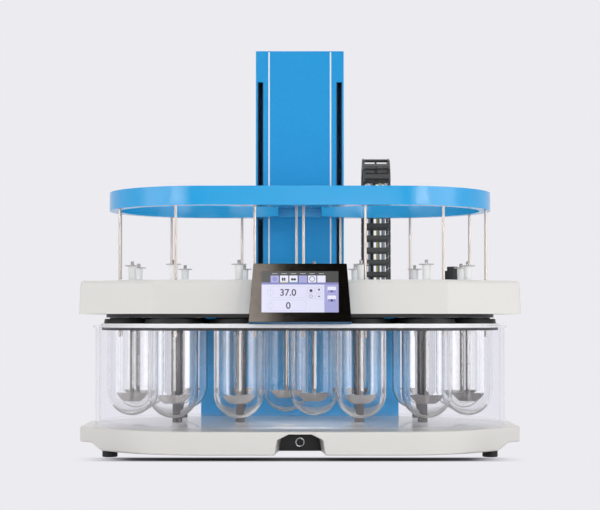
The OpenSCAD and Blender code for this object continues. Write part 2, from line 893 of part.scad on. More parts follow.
// Cable chain: hollow links up from the head, round a bend and down to the rear housing
chain_shelf_t = 8;
chain_gap = 6;
chain_front_y = head_half_d + chain_gap + link_h / 2;
chain_start_z = housing_top + (back_links - front_links) * link_pitch;
bend_z = chain_start_z + front_links * link_pitch;
link_gap = 0.6;
rib = 5;
module link() {
    difference() {
        block([-chain_w / 2, -link_h / 2, 0], [chain_w / 2, link_h / 2, link_pitch - link_gap]);
        block([-chain_w / 2 + rib, -link_h / 2 - cut, rib],
              [chain_w / 2 - rib, link_h / 2 + cut, link_pitch - rib]);
        block([-chain_w / 2 + rib, -link_h / 2 + rib, -cut],
              [chain_w / 2 - rib, link_h / 2 - rib, link_pitch + cut]);
    }
}
bend_step = 180 / bend_links;
bend_half_w = tan(bend_step / 2) * (chain_bend_r + link_h) - link_gap;
module bend_link(k) {
    translate([0, chain_bend_r, 0]) rotate([-(k + 0.5) * bend_step, 0, 0]) translate([0, -chain_bend_r, 0])
        intersection() {
            translate([0, 0, -link_pitch / 2]) link();
            rotate([90, 0, 90]) translate([0, 0, -chain_w]) linear_extrude(2 * chain_w)
                polygon([[chain_bend_r, 0], [-link_h, -bend_half_w], [-link_h, bend_half_w]]);
        }
}
module cable_chain() {
    color(black) translate([chain_x, chain_front_y, 0]) {
        for (k = [0 : front_links - 1]) {
            translate([0, 0, chain_start_z + k * link_pitch]) link();
        }
        translate([0, 0, bend_z]) for (k = [0 : bend_links - 1]) {
            bend_link(k);
        }
        for (k = [1 : back_links]) {
            translate([0, 2 * chain_bend_r, bend_z - k * link_pitch]) link();
        }
    }
}

in_frame() base();
in_frame() feet();
in_frame() recess_panel();
in_frame() button_bezel();
in_frame() power_button();
in_frame() rear_housing();
in_frame() rear_panel();
in_frame() tower_shell();
in_frame() slot_brushes();
in_frame() lift_column();
in_frame() lift_motor();
in_frame() lift_screw();
in_frame() bath_heater();
in_frame() tank();
in_frame() support_posts();
in_frame() vessel_plate();
in_frame() plate_lining();
in_frame() vessel_covers();
for (i = [0 : STATIONS - 1]) {
    in_frame() vessel(i);
    in_frame() paddle(i);
}
in_frame() head_shell();
in_frame() head_floor();
in_frame() head_carriage();
in_frame() spindle_bearings();
in_frame() spindle_caps();
in_frame() drive_motor();
in_frame() drive_belt();
in_frame() display_housing();
in_frame() display_screen();
in_frame() sensor_module();
in_frame() manifold();
in_frame() probes();
in_frame() manifold_carriage();
in_frame() cable_chain();
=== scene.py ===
# Dissolution tester: a bench instrument that stirs fourteen glass vessels in a clear water bath.
# Lengths in metres, +Z up, the front faces -Y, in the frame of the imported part.
import math

import bmesh
import bpy
from mathutils import Matrix, Vector


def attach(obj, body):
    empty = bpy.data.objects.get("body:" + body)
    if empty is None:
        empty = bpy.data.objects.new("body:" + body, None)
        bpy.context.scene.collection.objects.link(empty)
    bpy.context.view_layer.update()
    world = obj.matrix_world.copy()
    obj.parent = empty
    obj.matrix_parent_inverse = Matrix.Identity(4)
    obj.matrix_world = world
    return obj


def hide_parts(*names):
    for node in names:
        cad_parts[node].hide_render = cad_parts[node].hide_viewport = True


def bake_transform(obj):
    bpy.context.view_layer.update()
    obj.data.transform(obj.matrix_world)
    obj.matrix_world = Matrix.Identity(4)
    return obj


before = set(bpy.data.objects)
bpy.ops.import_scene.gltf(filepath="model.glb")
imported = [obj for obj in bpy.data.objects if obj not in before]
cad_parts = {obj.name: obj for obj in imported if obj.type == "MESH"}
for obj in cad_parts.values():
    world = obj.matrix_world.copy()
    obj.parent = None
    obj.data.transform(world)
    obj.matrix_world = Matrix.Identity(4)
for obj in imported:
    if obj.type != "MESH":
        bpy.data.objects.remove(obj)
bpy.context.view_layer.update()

# Studio: a long lens at the height of the bath's rim, tilted up a little, soft lamps in front, above and at
# the sides, and a pale floor that runs out into the backdrop and keeps a narrow shadow, deepened by a band of
# painted shadow. Light passes through many walls of glass and acrylic on its way, so it may bounce often.
scene = bpy.context.scene
scene.view_settings.view_transform = "Standard"
scene.cycles.max_bounces = 32
scene.cycles.transmission_bounces = 32
scene.cycles.transparent_max_bounces = 32


def linear(code):
    """A hex sRGB colour as linear red, green, blue and alpha."""
    parts = [int(code[i:i + 2], 16) / 255 for i in (1, 3, 5)]
    return [c / 12.92 if c <= 0.04045 else ((c + 0.055) / 1.055) ** 2.4 for c in parts] + [1]


def add_node(tree, kind, inputs, **settings):
    """Adds a node with its settings, and links or sets its inputs."""
    made = tree.nodes.new(kind)
    for key, value in settings.items():
        setattr(made, key, value)
    for key, value in inputs.items():
        if isinstance(value, bpy.types.NodeSocket):
            tree.links.new(value, made.inputs[key])
        else:
            made.inputs[key].default_value = value
    return made


def seen_rays(tree):
    """The light path, and 1 for rays from the camera, a mirror or glass, which see the plain backdrop."""
    path = add_node(tree, "ShaderNodeLightPath", {})
    shiny = add_node(tree, "ShaderNodeMath", {0: path.outputs["Is Glossy Ray"],
                                              1: path.outputs["Is Transmission Ray"]}, operation="MAXIMUM")
    seen = add_node(tree, "ShaderNodeMath", {0: path.outputs["Is Camera Ray"], 1: shiny.outputs[0]},
                    operation="MAXIMUM")
    return path, seen


backdrop_colour = linear("#ECEBF0")
eye = (-0.004, -3.6495, 0.308)
eye_tilt = math.radians(91.562)
bpy.ops.object.select_all(action="DESELECT")
bpy.ops.object.camera_add(location=eye, rotation=(eye_tilt, 0, 0))
camera = bpy.context.object
camera.data.sensor_width = 36
camera.data.lens = 92.85
camera.data.shift_x = 0.003
camera.data.shift_y = 0.035
camera.data.clip_end = 50
scene.camera = camera

for name, place, aim, size, watts in (
        ("front_lamp", (-0.36, -2.9, 1.5), (0, 0, 0.4), 0.5, 5),
        ("low_lamp", (0.25, -2.9, 0.32), (0, 0, 0.2), 0.6, 7),
        ("left_strip", (-2.0, -2.9, 0.81), (0, 0, 0.5), 0.3, 9),
        ("right_strip", (2.0, -2.9, 0.81), (0, 0, 0.5), 0.3, 12),
        ("left_lamp", (-2.6, -1.6, 0.55), (0, 0, 0.4), 1.7, 22),
        ("right_lamp", (2.6, -1.6, 0.55), (0, 0, 0.4), 1.7, 27),
        ("top_lamp", (0, -0.2, 2.7), (0, 0, 0.4), 2.4, 20),
        ("rear_lamp", (0, 2.6, 1.9), (0, 0, 0.5), 2.4, 24),
        ("bath_lamp", (0, -0.27, 0.225), (0, 0.19, 0.2), 0.2, 0.9)):
    turn = (Vector(aim) - Vector(place)).to_track_quat("-Z", "Y").to_euler()
    bpy.ops.object.light_add(type="AREA", location=place, rotation=turn)
    lamp = bpy.context.object
    lamp.name = name
    lamp.data.size = size
    lamp.data.energy = watts
# The bath's own lamp stands among the vessels and lights the housing behind them. It isn't seen or mirrored.
lamp.visible_camera = False
lamp.visible_glossy = False
lamp.visible_transmission = False

world = bpy.data.worlds.new("studio")
scene.world = world
world.use_nodes = True
tree = world.node_tree
tree.nodes.clear()
path, seen = seen_rays(tree)
# The room behind the camera is dim, so that metal and glass show dark fronts and bright edges.
coords = add_node(tree, "ShaderNodeTexCoord", {})
way = add_node(tree, "ShaderNodeSeparateXYZ", {"Vector": coords.outputs["Generated"]})
ahead = add_node(tree, "ShaderNodeMapRange", {"Value": way.outputs["Y"], "From Min": -0.75, "From Max": 0.1},
                 interpolation_type="SMOOTHSTEP")
pale = add_node(tree, "ShaderNodeMath", {0: ahead.outputs[0], 1: path.outputs["Is Camera Ray"]},
                operation="MAXIMUM")
room = add_node(tree, "ShaderNodeMix", {"Factor": pale.outputs[0], "A": linear("#3C3B3A"),
                                        "B": backdrop_colour}, data_type="RGBA")
plain = add_node(tree, "ShaderNodeBackground", {"Color": room.outputs["Result"], "Strength": 1})
ambient = add_node(tree, "ShaderNodeBackground", {"Color": linear("#F4F5FA"), "Strength": 0.42})
sky = add_node(tree, "ShaderNodeMixShader", {0: seen.outputs[0], 1: ambient.outputs[0], 2: plain.outputs[0]})
add_node(tree, "ShaderNodeOutputWorld", {"Surface": sky.outputs[0]})

# The floor is white paper that ends in front of the camera and fades into the backdrop. Under the base's
# front a band of it keeps the real shadow and is also painted grey there: a painted shadow that deepens it.
floor_front = -1.3
bpy.ops.mesh.primitive_plane_add(size=16, location=(0, 0, 0))
floor = bpy.context.object
floor.name = "floor"
for point in floor.data.vertices:
    point.co.y = max(point.co.y, floor_front)
paper = bpy.data.materials.new("white_paper")
paper.use_nodes = True
tree = paper.node_tree
tree.nodes.clear()
seen = seen_rays(tree)[1]
coords = add_node(tree, "ShaderNodeTexCoord", {})
spot = add_node(tree, "ShaderNodeSeparateXYZ", {"Vector": coords.outputs["Object"]})
aside = add_node(tree, "ShaderNodeMath", {0: spot.outputs["X"]}, operation="ABSOLUTE")
front, rear, ends = [
    add_node(tree, "ShaderNodeMapRange", {"Value": way, "From Min": none, "From Max": full},
             interpolation_type="SMOOTHSTEP")
    for way, none, full in ((spot.outputs["Y"], -0.330, -0.290), (spot.outputs["Y"], -0.195, -0.240),
                            (aside.outputs[0], 0.51, 0.36))]
band = add_node(tree, "ShaderNodeMath", {0: front.outputs[0], 1: rear.outputs[0]}, operation="MULTIPLY")
kept_and_painted_shadow = add_node(tree, "ShaderNodeMath", {0: band.outputs[0], 1: ends.outputs[0]}, operation="MULTIPLY")
fade = add_node(tree, "ShaderNodeMapRange", {"Value": kept_and_painted_shadow.outputs[0], "To Min": 1.0, "To Max": 0.0})
share = add_node(tree, "ShaderNodeMath", {0: fade.outputs[0], 1: seen.outputs[0]}, operation="MULTIPLY")
# Painted shadow: inside the band the paper's own colour goes from the backdrop's white to grey.
painted_shadow_grey = add_node(tree, "ShaderNodeMix", {"Factor": kept_and_painted_shadow.outputs[0], "A": backdrop_colour,
                                         "B": linear("#8A898C")}, data_type="RGBA")
matt = add_node(tree, "ShaderNodeBsdfDiffuse", {"Color": painted_shadow_grey.outputs["Result"]})
glow = add_node(tree, "ShaderNodeEmission", {"Color": backdrop_colour, "Strength": 1})
mix = add_node(tree, "ShaderNodeMixShader", {0: share.outputs[0], 1: matt.outputs[0], 2: glow.outputs[0]})
add_node(tree, "ShaderNodeOutputMaterial", {"Surface": mix.outputs[0]})
floor.data.materials.append(paper)

# Feet: six round pads of black rubber, moulded with a rounded lower edge and screwed under the base, four
# under its round ends and two under the rear housing.
lobe_x = 0.206
mid_y = -0.0755
foot_r = 0.017
foot_h = 0.015
foot_ring_r = 0.248
foot_turn = math.radians(29)
foot_edge = 0.0018
rear_foot = (0.211, 0.3305)
near = 0.001  # a point this close to a plane counts as on it


def let_go():
    """Leaves edit mode and deselects everything."""
    if bpy.context.object and bpy.context.object.mode == "EDIT":
        bpy.ops.object.mode_set(mode="OBJECT")
    bpy.ops.object.select_all(action="DESELECT")


def shape(part):
    """Fixes a new primitive's place in its mesh and goes into edit mode."""
    let_go()
    part.select_set(True)
    bpy.context.view_layer.objects.active = part
    bpy.ops.object.transform_apply(location=True, rotation=True, scale=True)
    bpy.ops.object.mode_set(mode="EDIT")
    return part


def pick_faces(part, test):
    """Selects, in edit mode, the faces whose centre and normal pass the test."""
    bpy.ops.mesh.select_mode(type="FACE")
    bpy.ops.mesh.select_all(action="DESELECT")
    for face in bmesh.from_edit_mesh(part.data).faces:
        if test(face.calc_center_median(), face.normal):
            face.select_set(True)
    bmesh.update_edit_mesh(part.data)


def pick_edges(part, test):
    """Selects, in edit mode, the edges whose two ends pass the test."""
    bpy.ops.mesh.select_mode(type="EDGE")
    bpy.ops.mesh.select_all(action="DESELECT")
    for edge in bmesh.from_edit_mesh(part.data).edges:
        if test(edge.verts[0].co, edge.verts[1].co):
            edge.select_set(True)
    bmesh.update_edit_mesh(part.data)


def pick_points(part, test):
    """Selects, in edit mode, the points that pass the test."""
    bpy.ops.mesh.select_mode(type="VERT")
    bpy.ops.mesh.select_all(action="DESELECT")
    for point in bmesh.from_edit_mesh(part.data).verts:
        if test(point.co):
            point.select_set(True)
    bmesh.update_edit_mesh(part.data)


def modify(part, kind, **settings):
    """Adds a modifier with its settings and applies it."""
    let_go()
    part.select_set(True)
    bpy.context.view_layer.objects.active = part
    added = part.modifiers.new(kind.lower(), kind)
    for key, value in settings.items():
        setattr(added, key, value)
    bpy.ops.object.modifier_apply(modifier=added.name)


def copy_at(part, place):
    """A copy of a modelled part with a mesh of its own, at its place."""
    copy = part.copy()
    copy.data = part.data.copy()
    copy.data.transform(place)
    scene.collection.objects.link(copy)
    return copy


def joined(parts):
    """Joins parts into the first of them."""
    let_go()
    for part in parts:
        part.select_set(True)
    bpy.context.view_layer.objects.active = parts[0]
    if len(parts) > 1:
        bpy.ops.object.join()
    return bpy.context.object


def copies(part, places):
    """One piece of several copies of a modelled part, each at its own place."""
    made = [copy_at(part, place) for place in places]
    bpy.data.objects.remove(part)
    return joined(made)


def finish(part, name, material, body, slot, *nodes):
    """Names, smooths and paints a piece, and sets it on its body, if it has one, in place of CAD nodes."""
    let_go()
    part.select_set(True)
    bpy.context.view_layer.objects.active = part
    part.name = name
    part.data.name = name
    bpy.ops.object.shade_smooth_by_angle(angle=math.radians(32))
    modify(part, "WEIGHTED_NORMAL", keep_sharp=True)
    part.data.materials.clear()
    part.data.materials.append(material)
    if body:
        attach(part, body)
    if nodes:
        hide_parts(*nodes)
    return part


def surface(name, sockets):
    """A material of one shader, with values on the shader's own sockets."""
    made = bpy.data.materials.new(name)
    made.use_nodes = True
    for key, value in sockets.items():
        made.node_tree.nodes["Principled BSDF"].inputs[key].default_value = value
    return made


def grain(material, spacing, depth, smooth, dull, stretch=(1, 1, 1)):
    """Gives a finish its texture: bumps of a real spacing and depth, and a roughness that goes with them."""
    tree = material.node_tree
    skin = tree.nodes["Principled BSDF"]
    coords = add_node(tree, "ShaderNodeTexCoord", {})
    laid = add_node(tree, "ShaderNodeMapping", {"Vector": coords.outputs["Object"], "Scale": stretch})
    noise = add_node(tree, "ShaderNodeTexNoise", {"Vector": laid.outputs[0], "Scale": 1 / spacing,
                                                  "Detail": 2})
    gloss = add_node(tree, "ShaderNodeMapRange", {"Value": noise.outputs["Fac"], "From Min": 0.3,
                                                  "From Max": 0.7, "To Min": smooth, "To Max": dull})
    relief = add_node(tree, "ShaderNodeBump", {"Height": noise.outputs["Fac"], "Strength": 1,
                                               "Distance": depth})
    tree.links.new(gloss.outputs[0], skin.inputs["Roughness"])
    tree.links.new(relief.outputs["Normal"], skin.inputs["Normal"])


# Nitrile rubber, moulded: near black and dull, with a faint sheen and a matt half-millimetre grain.
rubber = surface("moulded_rubber", {"Base Color": linear("#161617")})
grain(rubber, spacing=0.0005, depth=0.00003, smooth=0.62, dull=0.78)

let_go()
bpy.ops.mesh.primitive_cylinder_add(vertices=48, radius=foot_r, depth=foot_h,
                                    location=(0, 0, foot_h / 2))
pad = shape(bpy.context.object)
pick_edges(pad, lambda a, b: max(a.z, b.z) < near)
bpy.ops.mesh.bevel(offset=foot_edge, segments=3)
let_go()
foot_x = lobe_x + foot_ring_r * math.cos(foot_turn)
foot_y = foot_ring_r * math.sin(foot_turn)
foot_places = [(sx * foot_x, mid_y + sy * foot_y) for sx in (-1, 1) for sy in (-1, 1)]
foot_places += [(-rear_foot[0], rear_foot[1]), rear_foot]
feet = copies(pad, [Matrix.Translation((x, y, 0)) for x, y in foot_places])
finish(feet, "rubber_feet", rubber, "frame", "black_rubber", "feet")

# Base: a polyurethane casting enamelled white, with round ends that run out into two lifting grips,
# a block under the rear housing and a recess in the front. Its upper edge is rounded by hand.
base_r = 0.270
base_low = 0.015
base_top = 0.066
grip_x = 0.494
grip_half_l = 0.092
grip_low = 0.031
grip_inner_x = 0.464
grip_slope_x = 0.439
rear_half_w = 0.247
rear_y = 0.3645
recess_mouth = 0.0495
recess_back = 0.0412
recess_foot = 0.060
recess_depth = 0.122
recess_front_y = mid_y - base_r
recess_back_y = recess_front_y + recess_depth
recess_top = 0.053
recess_mouth_top = 0.0605
recess_corner = 0.0195
shoulder = 0.55
recess_over = 0.040
flare = 1 + recess_over / recess_depth
base_edge = 0.0045
rear_push = 0.15
weld = 0.00002


def stadium(radius, z):
    """A flat face with two round ends, one round each ring of vessels, in edit mode."""
    let_go()
    bpy.ops.mesh.primitive_circle_add(vertices=144, radius=radius, fill_type="NGON", location=(0, mid_y, z),
                                      rotation=(0, 0, math.pi / 144))
    part = shape(bpy.context.object)
    for side in (-1, 1):
        pick_points(part, lambda p: p.x * side > 0)
        bpy.ops.transform.translate(value=(side * lobe_x, 0, 0))
    bpy.ops.mesh.select_all(action="SELECT")
    return part


def pull(step):
    """Extrudes what is selected by a step."""
    bpy.ops.mesh.extrude_region_move(TRANSFORM_OT_translate={"value": step})


def face_out():
    """Turns all faces outwards."""
    bpy.ops.mesh.select_all(action="SELECT")
    bpy.ops.mesh.normals_make_consistent(inside=False)


def round_edges(part, width, segments, sharp):
    """Rounds the edges that are sharper than an angle in degrees."""
    modify(part, "BEVEL", width=width, segments=segments, limit_method="ANGLE",
           angle_limit=math.radians(sharp))


def cut(part, tool):
    """Cuts a tool's shape out of a part."""
    modify(part, "BOOLEAN", object=tool, operation="DIFFERENCE", solver="EXACT")
    bpy.data.objects.remove(tool)


# Two-part enamel, sprayed and left satin: an even off-white with a soft sheen and a shallow orange-peel,
# two and a half millimetres apart.
white_enamel = surface("white_enamel", {"Base Color": linear("#DAD8D2"), "IOR": 1.48})
grain(white_enamel, spacing=0.0025, depth=0.00004, smooth=0.34, dull=0.42)

base = stadium(base_r, base_low)
pull((0, 0, base_top - base_low))
bpy.ops.mesh.primitive_cube_add(size=1, location=(0, mid_y, (base_low + base_top) / 2),
                                scale=(2 * grip_x, 2 * grip_half_l, base_top - base_low))
bpy.ops.mesh.select_all(action="SELECT")
bpy.ops.mesh.convex_hull()
bpy.ops.mesh.select_all(action="SELECT")
bpy.ops.mesh.dissolve_limited(angle_limit=math.radians(0.2))
for x in (-grip_inner_x, -grip_slope_x, -rear_half_w, rear_half_w, grip_slope_x, grip_inner_x):
    bpy.ops.mesh.select_all(action="SELECT")
    bpy.ops.mesh.bisect(plane_co=(x, 0, 0), plane_no=(1, 0, 0))
pick_faces(base, lambda c, n: n.y > 0.3 and abs(c.x) < rear_half_w and abs(n.z) < 0.1)
pull((0, rear_push, 0))
bpy.ops.transform.resize(value=(1, 0, 1), center_override=(0, rear_y, 0))
pick_points(base, lambda p: abs(p.x) > grip_inner_x - near / 2 and p.z < base_low + near)
bpy.ops.transform.translate(value=(0, 0, grip_low - base_low))
face_out()
let_go()
bpy.ops.mesh.primitive_cube_add(size=1, location=(0, (recess_front_y + recess_back_y - recess_over) / 2, 0),
                                scale=(2 * recess_back, recess_depth + recess_over,
                                       2 * recess_top / shoulder))
recess = shape(bpy.context.object)
pick_edges(recess, lambda a, b: min(a.z, b.z) > recess_top and abs(a.x - b.x) < near)
bpy.ops.mesh.bevel(offset=recess_corner, segments=1)
bpy.ops.mesh.select_all(action="SELECT")
bpy.ops.transform.resize(value=(1, 1, shoulder), center_override=(0, 0, 0))
pick_points(recess, lambda p: p.z < 0)
bpy.ops.transform.resize(value=(recess_foot / recess_back, 1, 1), center_override=(0, 0, 0))
pick_points(recess, lambda p: p.y < recess_front_y)
bpy.ops.transform.resize(value=(1 + flare * (recess_mouth / recess_back - 1), 1,
                                1 + flare * (recess_mouth_top / recess_top - 1)), center_override=(0, 0, 0))
round_edges(base, base_edge, 4, 28)
modify(recess, "TRIANGULATE")
cut(base, recess)
shape(base)
bpy.ops.mesh.select_all(action="SELECT")
bpy.ops.mesh.remove_doubles(threshold=weld)
finish(base, "base_casting", white_enamel, "frame", "white_casting", "base")

# Recess panel: a moulded black plate at the back of the front recess, with a chromed ring and a push
# button that lies a little proud of it.
button_z = 0.035
button_r = 0.0065
button_l = 0.0072
button_edge = 0.0008
bright_ring_r = 0.0089
bright_ring_wire_r = 0.0020
panel_y = recess_back_y - 0.005
ring_y = panel_y - 0.0012
button_y = panel_y - 0.0004


def dress(node, material):
    """Paints a CAD node that keeps its own shape."""
    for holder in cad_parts[node].material_slots:
        holder.material = material


# ABS, moulded with a spark-eroded grain of six tenths of a millimetre: black, dull, with a broad highlight.
black_abs = surface("black_abs", {"Base Color": linear("#1B1B1D"), "IOR": 1.53})
grain(black_abs, spacing=0.0006, depth=0.00004, smooth=0.44, dull=0.56)

# Chromium plate, buffed: a bright mirror with a neutral tint and faint buffing marks, a millimetre apart.
chrome = surface("chromium_plate", {"Base Color": linear("#D9DADC"), "Metallic": 1})
grain(chrome, spacing=0.001, depth=0.000002, smooth=0.12, dull=0.20)

dress("recess_panel", black_abs)
let_go()
bpy.ops.mesh.primitive_torus_add(location=(0, ring_y, button_z), rotation=(math.pi / 2, 0, 0),
                                 major_radius=bright_ring_r, minor_radius=bright_ring_wire_r,
                                 major_segments=64, minor_segments=16)
ring = shape(bpy.context.object)
finish(ring, "button_ring", chrome, "frame", "bright_ring", "button_bezel")
let_go()
bpy.ops.mesh.primitive_cylinder_add(vertices=48, radius=button_r, depth=button_l,
                                    location=(0, button_y, button_z), rotation=(math.pi / 2, 0, 0))
button = shape(bpy.context.object)
pick_faces(button, lambda c, n: n.y < -0.9)
bpy.ops.mesh.bevel(offset=button_edge, segments=3)
finish(button, "push_button", black_abs, "power_button", "black_plastic", "power_button")

# Tank: a clear trough cast in acrylic, with round ends, eight-millimetre walls and a narrow lip that
# stiffens the rim. It stands loose on the base.
tank_r = 0.264
tank_top = 0.292
tank_wall = 0.008
tank_lip = 0.005
lip_h = 0.006
tank_edge = 0.0012
tank_gap = 0.0002

# Cast acrylic, polished: water clear in thin sheet, so only its faint sheen and its edges show.
acrylic = surface("cast_acrylic", {"Base Color": linear("#F4F4F6"), "Roughness": 0.03, "IOR": 1.49})
tree = acrylic.node_tree
skin = tree.nodes["Principled BSDF"]
facing = add_node(tree, "ShaderNodeLayerWeight", {"Blend": 0.5})
sheen = add_node(tree, "ShaderNodeMapRange", {"Value": facing.outputs["Facing"], "From Min": 0.75,
                                              "From Max": 1.0, "To Min": 0.012, "To Max": 0.55})
clear = add_node(tree, "ShaderNodeBsdfTransparent", {"Color": linear("#FDFDFE")})
mix = add_node(tree, "ShaderNodeMixShader", {0: sheen.outputs[0], 1: clear.outputs[0], 2: skin.outputs[0]})
tree.links.new(mix.outputs[0], tree.nodes["Material Output"].inputs["Surface"])

tank = stadium(tank_r, base_top + tank_gap)
pull((0, 0, tank_top - lip_h - base_top))
pull((0, 0, 0))
whole = lobe_x + tank_r
bpy.ops.transform.resize(value=((whole + tank_lip) / whole, (tank_r + tank_lip) / tank_r, 1),
                         center_override=(0, mid_y, 0))
pull((0, 0, lip_h))
bpy.ops.mesh.inset(thickness=tank_lip + tank_wall)
pull((0, 0, base_top + tank_wall - tank_top))
face_out()
round_edges(tank, tank_edge, 2, 40)
finish(tank, "tank", acrylic, "frame", "clear_acrylic", "tank")
tank.visible_shadow = False

# Support posts: stainless bars, ground all over and broken at the edges, that stand on the tank's floor and
# carry the vessel plate.
post_edge = 0.0006

# Stainless steel, ground between centres: bright grey with long soft reflections, crossed by grinding marks
# that are drawn three millimetres apart, because the real ones are too fine to show.
stainless = surface("ground_stainless", {"Base Color": linear("#6E6B6C"), "Metallic": 1})
grain(stainless, spacing=0.003, depth=0.00001, smooth=0.09, dull=0.15, stretch=(0.1, 0.1, 1))


def soften(node, width, merged=0.00001):
    """A copy of a CAD piece with its triangles merged and its sharp edges rounded."""
    let_go()
    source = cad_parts[node]
    part = bpy.data.objects.new(node + "_soft", source.data.copy())
    scene.collection.objects.link(part)
    shape(part)
    bpy.ops.mesh.select_all(action="SELECT")
    bpy.ops.mesh.remove_doubles(threshold=merged)
    bpy.ops.mesh.dissolve_limited(angle_limit=math.radians(0.3))
    round_edges(part, width, 3, 40)
    shape(part)
    bpy.ops.mesh.select_all(action="SELECT")
    bpy.ops.mesh.remove_doubles(threshold=merged)
    bpy.ops.mesh.dissolve_degenerate(threshold=merged)
    bpy.ops.mesh.delete_loose(use_verts=True, use_edges=True, use_faces=False)
    return part


finish(soften("support_posts", post_edge), "bath_posts", stainless, "frame", "steel", "support_posts")

# Vessel plate: a white plastic plate milled to the tank's mouth, with a hole for each vessel and a dark
# damping sheet glued under it.
# Polyoxymethylene sheet, milled: clean white with a slight gloss and cutter marks a millimetre apart along X.
white_sheet = surface("milled_white_sheet", {"Base Color": linear("#F1F1EF")})
grain(white_sheet, spacing=0.001, depth=0.00002, smooth=0.3, dull=0.4, stretch=(1, 0.1, 1))
dress("vessel_plate", white_sheet)
dress("plate_lining", black_abs)

# Vessels: fourteen round-bottomed cups blown in borosilicate glass, with a ground flange that hangs in
# the plate. Seven stand in each ring, on seven corners of an octagon.
ring_r = 0.188
vessel_r = 0.055
vessel_wall = 0.0035
vessel_low = 0.089
plate_top = 0.296
flange_t = 0.005
flange_out = 0.005
vessel_edge = 0.0008
eighth = math.radians(45)
inner_corner = 3
stations = [(-lobe_x, eighth / 2 + k * eighth) for k in range(7)]
stations += [(lobe_x, eighth / 2 + k * eighth) for k in range(8) if k != inner_corner]
station_spots = [(x + ring_r * math.cos(a), mid_y + ring_r * math.sin(a)) for x, a in stations]

# Borosilicate glass, blown and fire polished: colourless, with a faint grey in its thick edges.
glass = surface("borosilicate_glass", {"Base Color": linear("#FEFEFE"), "Roughness": 0.0, "IOR": 1.47,
                                       "Transmission Weight": 1})

let_go()
bpy.ops.mesh.primitive_uv_sphere_add(segments=72, ring_count=36, radius=vessel_r,
                                     location=(0, 0, vessel_low + vessel_r))
cup = shape(bpy.context.object)
bpy.ops.mesh.select_all(action="SELECT")
rim = vessel_low + vessel_r
bpy.ops.mesh.bisect(plane_co=(0, 0, rim), plane_no=(0, 0, 1), clear_outer=True)
for top in (plate_top, plate_top + flange_t):
    pick_edges(cup, lambda a, b: min(a.z, b.z) > rim - near / 10)
    pull((0, 0, top - rim))
    rim = top
face_out()
modify(cup, "SOLIDIFY", thickness=vessel_wall, offset=-1, use_even_offset=True)
shape(cup)
pick_faces(cup, lambda c, n: c.z > plate_top and abs(n.z) < 0.1 and n.x * c.x + n.y * c.y > 0)
bpy.ops.mesh.extrude_region_shrink_fatten(TRANSFORM_OT_shrink_fatten={"value": flange_out})
round_edges(cup, vessel_edge, 2, 50)
for k, (x, y) in enumerate(station_spots, 1):
    vessel = copy_at(cup, Matrix.Translation((x, y, 0)))
    finish(vessel, f"glass_vessel_{k}", glass, "frame", "vessel_glass", f"vessel_{k}")
    vessel.visible_shadow = False
bpy.data.objects.remove(cup)

# Rear housing and tower: boxes folded from steel sheet and powder coated blue. The tower stands on the
# housing, two white lines run up its front, and a service plate closes the housing's back.
# Epoxy powder coat, fine texture: mid blue with a peppering of paler specks, about one millimetre apart.
powder_blue = surface("blue_powder_coat", {"Roughness": 0.36, "Specular IOR Level": 0.28})
tree = powder_blue.node_tree
skin = tree.nodes["Principled BSDF"]
coords = add_node(tree, "ShaderNodeTexCoord", {})
specks = add_node(tree, "ShaderNodeTexNoise", {"Vector": coords.outputs["Object"], "Scale": 700, "Detail": 2,
                                               "Roughness": 0.6})
ramp = add_node(tree, "ShaderNodeValToRGB", {"Fac": specks.outputs["Fac"]})
for stop, (position, code) in zip(ramp.color_ramp.elements, ((0.42, "#0591D3"), (0.72, "#2FACE4"))):
    stop.position = position
    stop.color = linear(code)
tree.links.new(ramp.outputs["Color"], skin.inputs["Base Color"])
bumps = add_node(tree, "ShaderNodeBump", {"Height": specks.outputs["Fac"], "Strength": 0.25,
                                          "Distance": 0.0004})
tree.links.new(bumps.outputs["Normal"], skin.inputs["Normal"])
case_edge = 0.0012
service_edge = 0.0008
finish(soften("rear_housing", case_edge), "rear_case", powder_blue, "frame", "blue_paint", "rear_housing")
finish(soften("tower_shell", case_edge), "tower_case", powder_blue, "frame", "blue_paint", "tower_shell")
finish(soften("rear_panel", service_edge), "service_plate", black_abs, "frame", "black_plastic", "rear_panel")
dress("slot_brushes", black_abs)

# Cast vinyl film: flat white with a clean cut edge and a faint two-millimetre waviness. It is drawn three
# tenths of a millimetre thick, because the real film is too thin to show.
white_film = surface("white_vinyl_film", {"Base Color": linear("#F3F3F1")})
grain(white_film, spacing=0.002, depth=0.00001, smooth=0.4, dull=0.5)
tower_front = 0.1945
tower_low, tower_high = 0.3125, 0.974
line_x = 0.0766
line_w = 0.0034
line_t = 0.0003
line_edge = 0.0001
line_short = 0.005
let_go()
bpy.ops.mesh.primitive_cube_add(size=1, location=(0, tower_front - line_t / 3, (tower_low + tower_high) / 2),
                                scale=(line_w, line_t, tower_high - tower_low - line_short))
line = shape(bpy.context.object)
pick_edges(line, lambda a, b: max(a.y, b.y) < tower_front - line_t / 2)
bpy.ops.mesh.bevel(offset=line_edge, segments=1)
let_go()
lines = copies(line, [Matrix.Translation((s * line_x, 0, 0)) for s in (-1, 1)])
finish(lines, "tower_lines", white_film, "frame", "white_plastic")

# Lifting gear: an extruded aluminium spine with ground rails, a steel screw and its motor in the tower,
# and the flow heater in the rear housing.
# Aluminium, extruded and anodised clear: pale grey and satin, with die lines a millimetre apart upwards.
anodised = surface("anodised_aluminium", {"Base Color": linear("#C6C8CA"), "Metallic": 1})
grain(anodised, spacing=0.001, depth=0.00001, smooth=0.33, dull=0.43, stretch=(1, 1, 0.02))
for node in ("lift_column", "head_carriage", "manifold_carriage"):
    dress(node, anodised)
for node in ("lift_screw", "bath_heater", "spindle_bearings"):
    dress(node, stainless)
for node in ("lift_motor", "drive_motor"):
    dress(node, black_abs)
dress("drive_belt", rubber)

